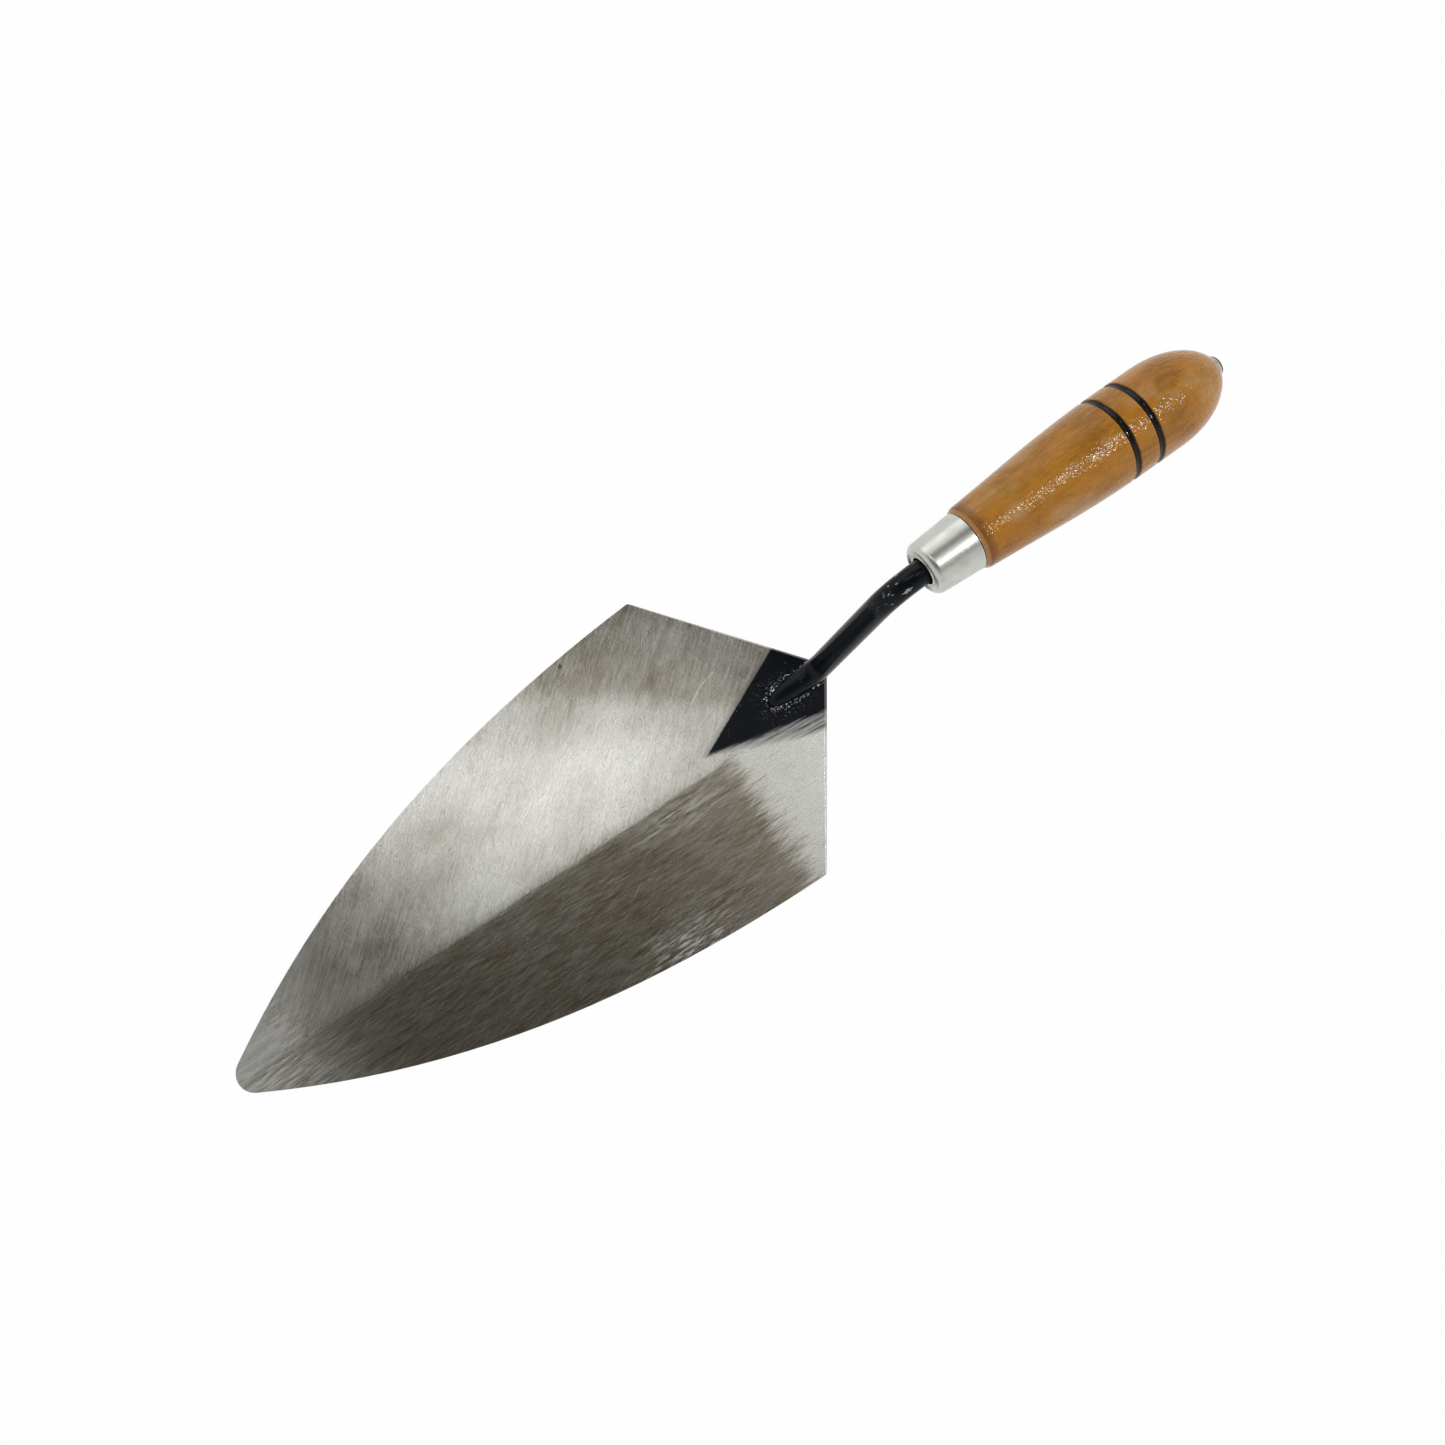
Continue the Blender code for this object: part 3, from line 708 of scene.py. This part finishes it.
class TROWEL_OT_welds(bpy.types.Operator):
    """Make the lumpy weld beads on both sides of the foot"""

    bl_idname = "trowel.welds"
    bl_label = "Weld beads"

    def execute(self, context):
        for side, name in ((1, "weld_left"), (-1, "weld_right")):
            self.bead(name, side)
        return {"FINISHED"}

    def bead(self, name, side):
        draw = random.Random(SEED + side)
        low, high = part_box(name)
        bm = bmesh.new()
        lumps = 17
        for i in range(lumps):
            share = i / (lumps - 1)
            fullness = 0.55 + 0.45 * math.sin(math.pi * min(share * 1.15 + 0.08, 1.0))
            radius = 0.0021 * fullness * draw.uniform(0.80, 1.10)
            x = low.x + radius + (high.x - low.x - 2 * radius) * share
            out = 0.0024 + 0.0016 * math.sqrt(share) + draw.uniform(-0.0002, 0.0002)
            squash = Matrix.Diagonal((1.0, 1.05, 0.86, 1))
            place = Matrix.Translation((x, side * out, ridge_height(x) + 0.0001)) @ squash
            bmesh.ops.create_icosphere(bm, subdivisions=3, radius=radius, matrix=place)
        mesh = bpy.data.meshes.new(name + "_lumps")
        bm.to_mesh(mesh)
        bm.free()
        rough = bpy.data.objects.new(name + "_lumps", mesh)
        bpy.context.scene.collection.objects.link(rough)
        remesh = rough.modifiers.new("Join", "REMESH")
        remesh.mode = "VOXEL"
        remesh.voxel_size = 0.00018
        smooth = rough.modifiers.new("Soften", "SMOOTH")
        smooth.iterations = 3
        graph = bpy.context.evaluated_depsgraph_get()
        joined = bmesh.new()
        joined.from_mesh(rough.evaluated_get(graph).to_mesh())
        bpy.data.objects.remove(rough)
        for vertex in joined.verts:
            shift = noise.noise(vertex.co * 1500) * 0.00012
            vertex.co += vertex.normal * shift
            vertex.co.z = min(vertex.co.z, high.z)
        place_piece(name + "_bead", joined, "weld_enamel", name)


class TROWEL_OT_ferrule(bpy.types.Operator):
    """Make the drawn ferrule with its rolled nose"""

    bl_idname = "trowel.ferrule"
    bl_label = "Ferrule"

    def execute(self, context):
        nose = sizes().nose_radius
        wall = 0.0009
        front_radius = 0.0097
        rear_radius = 0.0108
        hole = sizes().bar_radius + 0.0006
        centre = (nose, front_radius - nose)
        profile = [(FERRULE_END, rear_radius - 0.0002), (FERRULE_END - 0.0002, rear_radius)]
        profile += [(FERRULE_END * 0.66, front_radius + (rear_radius - front_radius) * 0.60)]
        profile += [(FERRULE_END * 0.33, front_radius + (rear_radius - front_radius) * 0.24)]
        profile += arc(centre, nose, 0, -math.pi / 2 * 0.86, 14)
        profile += arc((0.00115, 0.0062), 0.0007, -math.pi * 0.35, -math.pi * 0.62, 4)
        profile += arc((wall * 0.75, hole + wall * 0.6), wall * 0.6, -math.pi * 0.45, -1.5 * math.pi, 8)
        profile += arc(centre, nose - wall, -math.pi / 2 * 0.86, 0, 8)
        profile += [(FERRULE_END, rear_radius - wall)]
        bm = spun(profile, sizes().turn_steps)
        place_piece("ferrule_cup", bm, "zinc_plate", "ferrule")
        return {"FINISHED"}


def grip_profile():
    """(distance, radius) pairs of the grip and butt, from the butt's flat to the front of the shoulder."""
    full = sizes().grip_radius
    front = Vector((SHOULDER_PLACE + 0.0028, 0.0120, 0))
    fullest = Vector((SHOULDER_PLACE + 0.072, full, 0))
    reach = (fullest.x - front.x) * 0.42
    slope = (fullest.y - front.y) / (fullest.x - front.x)
    leaving = front + Vector((reach, reach * slope * 1.35, 0))
    grip = interpolate_bezier(front, leaving, fullest - Vector((reach, 0, 0)), fullest, 60)
    start = Vector((SHOULDER_PLACE + BUTT_START, full, 0))
    end = Vector((HANDLE_END, BUTT_FLAT_RADIUS, 0))
    long = end.x - start.x
    drop = start.y - end.y
    arriving = end + Vector((-long * 0.18, drop * 0.62, 0))
    butt = interpolate_bezier(start, start + Vector((long * 0.46, 0, 0)), arriving, end, 40)
    level = [Vector((fullest.x + (start.x - fullest.x) * i / 8, full, 0)) for i in range(1, 8)]
    outline = [(p.x, p.y) for p in grip + level + butt]
    return [(s, r - groove_cut(s)) for s, r in with_groove_points(outline)]


def with_groove_points(outline):
    """The outline with extra points across each groove."""
    half = sizes().groove_width / 2
    extra = []
    for place in GROOVE_PLACES:
        for i in range(15):
            s = SHOULDER_PLACE + place + half * 1.25 * (i / 7 - 1)
            extra.append((s, radius_at(outline, s)))
    merged = sorted(outline + extra)
    return [p for i, p in enumerate(merged) if i == 0 or p[0] - merged[i - 1][0] > 2e-5]


def radius_at(outline, s):
    for before, after in zip(outline, outline[1:]):
        if before[0] <= s <= after[0]:
            share = (s - before[0]) / (after[0] - before[0])
            return before[1] + (after[1] - before[1]) * share
    return outline[-1][1]


def groove_cut(s):
    half = sizes().groove_width / 2
    cut = 0.0
    for place in GROOVE_PLACES:
        away = abs(s - SHOULDER_PLACE - place) / half
        if away < 1:
            cut = sizes().groove_depth * math.cos(away * math.pi / 2) ** 0.8
    return cut


class TROWEL_OT_handle(bpy.types.Operator):
    """Turn the wooden handle with its two grooves and rounded butt"""

    bl_idname = "trowel.handle"
    bl_label = "Handle"

    def execute(self, context):
        tenon_start = sizes().nose_radius + 0.0003
        profile = list(reversed(grip_profile()))
        profile += arc((SHOULDER_PLACE + 0.0028, 0.0092), 0.0028, 0, -math.pi / 3, 10)[1:]
        profile += [(SHOULDER_PLACE, 0.0106), (SHOULDER_PLACE, 0.0095)]
        profile += [(tenon_start, 0.0085), (tenon_start, 0.0047), (HANDLE_END, 0.0029)]
        bm = spun(profile, sizes().turn_steps)
        for vertex in bm.verts:
            self.sand(vertex)
        place_piece("handle_wood", bm, "turned_wood", "handle")
        return {"FINISHED"}

    def sand(self, vertex):
        """Hand sanding leaves the wood very slightly out of round, always inwards."""
        local = AXIS.matrix.inverted() @ vertex.co
        outward = Vector((0, local.y, local.z))
        if outward.length < 0.0098 or local.x < SHOULDER_PLACE + 0.001:
            return
        depth = 0.00012 * (0.5 + 0.5 * noise.noise(Vector((local.x * 60, local.y * 90, local.z * 90))))
        outward.normalize()
        shifted = local - outward * depth
        vertex.co = AXIS.matrix @ shifted


class TROWEL_OT_washer(bpy.types.Operator):
    """Make the small dished washer under the riveted tang"""

    bl_idname = "trowel.washer"
    bl_label = "Butt washer"

    def execute(self, context):
        low, high = WASHER_SPAN
        thick = high - low
        outer = 0.0042
        profile = [(high, 0.0028), (high, 0.0034)]
        profile += [(high - thick * (1 - math.cos(a)) * 0.7, 0.0034 + 0.0008 * math.sin(a))
                    for a in (math.pi / 8 * i for i in range(1, 5))]
        profile += [(low, outer), (low, 0.0028)]
        bm = spun(profile, 64)
        place_piece("butt_washer_plate", bm, "zinc_plate", "butt_washer")
        return {"FINISHED"}


# Stage


def aim_matrix(place, aim, up):
    """Where a camera or lamp stands to look from place to aim, with up towards the top."""
    back = (place - aim).normalized()
    right = up.cross(back).normalized()
    turn = Matrix((right, back.cross(right), back)).transposed().to_4x4()
    return Matrix.Translation(place) @ turn


def soft_lamp(name, place, aim, size, power, turn):
    """An area lamp. Turn rolls it, in degrees."""
    lamp = bpy.data.lights.new(name, "AREA")
    lamp.shape = "RECTANGLE"
    lamp.size, lamp.size_y = size
    lamp.energy = power
    holder = bpy.data.objects.new(name, lamp)
    bpy.context.scene.collection.objects.link(holder)
    roll = Matrix.Rotation(math.radians(turn), 4, "Z")
    holder.matrix_world = aim_matrix(Vector(place), Vector(aim), Vector((0, 1, 0))) @ roll
    return holder


def backdrop_share(graph):
    """1 for rays that see the background: from the camera, or reflected or refracted."""
    path = graph.node("ShaderNodeLightPath")
    seen = Value(graph, path.outputs["Is Camera Ray"])
    for other in ("Is Glossy Ray", "Is Transmission Ray"):
        seen = graph.math("MAXIMUM", seen, path.outputs[other])
    return seen


class TROWEL_OT_stage(bpy.types.Operator):
    """Make the pale floor, the soft lamps, the sky and the camera"""

    bl_idname = "trowel.stage"
    bl_label = "Stage"

    def execute(self, context):
        self.camera()
        self.floor()
        self.sky()
        soft_lamp("Band", (-0.090, 0.300, 1.25), (-0.090, 0.300, 0), (0.46, 0.085), 0.78, -24.5)
        soft_lamp("Heel", (0.265, -0.07, 1.25), (0.265, -0.07, 0), (0.27, 0.34), 0.52, 0)
        soft_lamp("Window", (0.15, 0.95, 0.85), (0.05, 0, 0), (1.3, 1.0), 3.4, 0)
        soft_lamp("Side", (0.72, -0.42, 1.2), (0.14, 0, 0.05), (0.45, 0.16), 2.0, 20)
        soft_lamp("Spark", (0.68, -0.40, 1.2), (0.14, 0, 0.05), (0.09, 0.05), 3.4, 20)
        context.scene.view_settings.view_transform = "Standard"
        return {"FINISHED"}

    def camera(self):
        data = bpy.data.cameras.new("Camera")
        data.lens = CAMERA_LENS
        data.sensor_width = 36.0
        camera = bpy.data.objects.new("Camera", data)
        bpy.context.scene.collection.objects.link(camera)
        up = Vector((math.cos(CAMERA_UP_AZIMUTH), math.sin(CAMERA_UP_AZIMUTH), 0))
        camera.matrix_world = aim_matrix(CAMERA_PLACE, CAMERA_AIM, up)
        bpy.context.scene.camera = camera

    def floor(self):
        bm = bmesh.new()
        bmesh.ops.create_grid(bm, x_segments=1, y_segments=1, size=6.0)
        mesh = bpy.data.meshes.new("Floor")
        bm.to_mesh(mesh)
        bm.free()
        mesh.transform(Matrix.Translation((0, 0, -0.0003)))
        floor = bpy.data.objects.new("Floor", mesh)
        bpy.context.scene.collection.objects.link(floor)
        graph = Graph("pale_floor")
        graph.finish(Base_Color=(0.86, 0.86, 0.86, 1), Roughness=0.9)
        white = graph.node("ShaderNodeEmission", Strength=1.0)
        share = backdrop_share(graph) * 0.97
        mixed = graph.node("ShaderNodeMixShader", _0=share, _1=graph.shader.outputs[0], _2=white.outputs[0])
        graph.tree.links.new(mixed.outputs[0], graph.tree.nodes["Material Output"].inputs["Surface"])
        mesh.materials.append(graph.material)

    def sky(self):
        """White to the camera. Lit pieces see pale walls that darken to a grey ceiling."""
        world = bpy.data.worlds.new("Studio")
        bpy.context.scene.world = world
        world.use_nodes = True
        graph = Graph.__new__(Graph)
        graph.tree = world.node_tree
        path = graph.node("ShaderNodeLightPath")
        up = graph.node("ShaderNodeSeparateXYZ", Vector=graph.node("ShaderNodeTexCoord").outputs["Generated"])
        height = Value(graph, up.outputs[2])
        ceiling = graph.step(height, 0.35, 0.90)
        walls = graph.mix(ceiling, (0.90, 0.90, 0.89), (0.125, 0.124, 0.118))
        camera_ray = Value(graph, path.outputs["Is Camera Ray"])
        background = graph.tree.nodes["Background"]
        graph.connect(background.inputs["Color"], graph.mix(camera_ray, walls, (1, 1, 1)))


class TROWEL_PT_panel(bpy.types.Panel):
    """Lists the trowel's pieces, sizes and colours"""

    bl_idname = "TROWEL_PT_panel"
    bl_label = "Brick Trowel"
    bl_space_type = "VIEW_3D"
    bl_region_type = "UI"
    bl_category = "Trowel"

    def draw(self, context):
        for operator in OPERATORS:
            self.layout.operator(operator.bl_idname)
        for group in (context.scene.trowel_sizes, context.scene.trowel_colours):
            for name in group.__annotations__:
                self.layout.prop(group, name)


OPERATORS = (
    TROWEL_OT_blade,
    TROWEL_OT_shank,
    TROWEL_OT_welds,
    TROWEL_OT_ferrule,
    TROWEL_OT_handle,
    TROWEL_OT_washer,
    TROWEL_OT_stage,
)
CLASSES = (TrowelSizes, TrowelColours, *OPERATORS, TROWEL_PT_panel)


def register():
    for made in CLASSES:
        bpy.utils.register_class(made)
    bpy.types.Scene.trowel_sizes = PointerProperty(type=TrowelSizes)
    bpy.types.Scene.trowel_colours = PointerProperty(type=TrowelColours)


def unregister():
    del bpy.types.Scene.trowel_colours
    del bpy.types.Scene.trowel_sizes
    for made in reversed(CLASSES):
        bpy.utils.unregister_class(made)


def main():
    register()
    bpy.ops.trowel.stage()
    bpy.ops.trowel.blade()
    bpy.ops.trowel.shank()
    bpy.ops.trowel.welds()
    bpy.ops.trowel.ferrule()
    bpy.ops.trowel.handle()
    bpy.ops.trowel.washer()


if __name__ == "__main__":
    main()
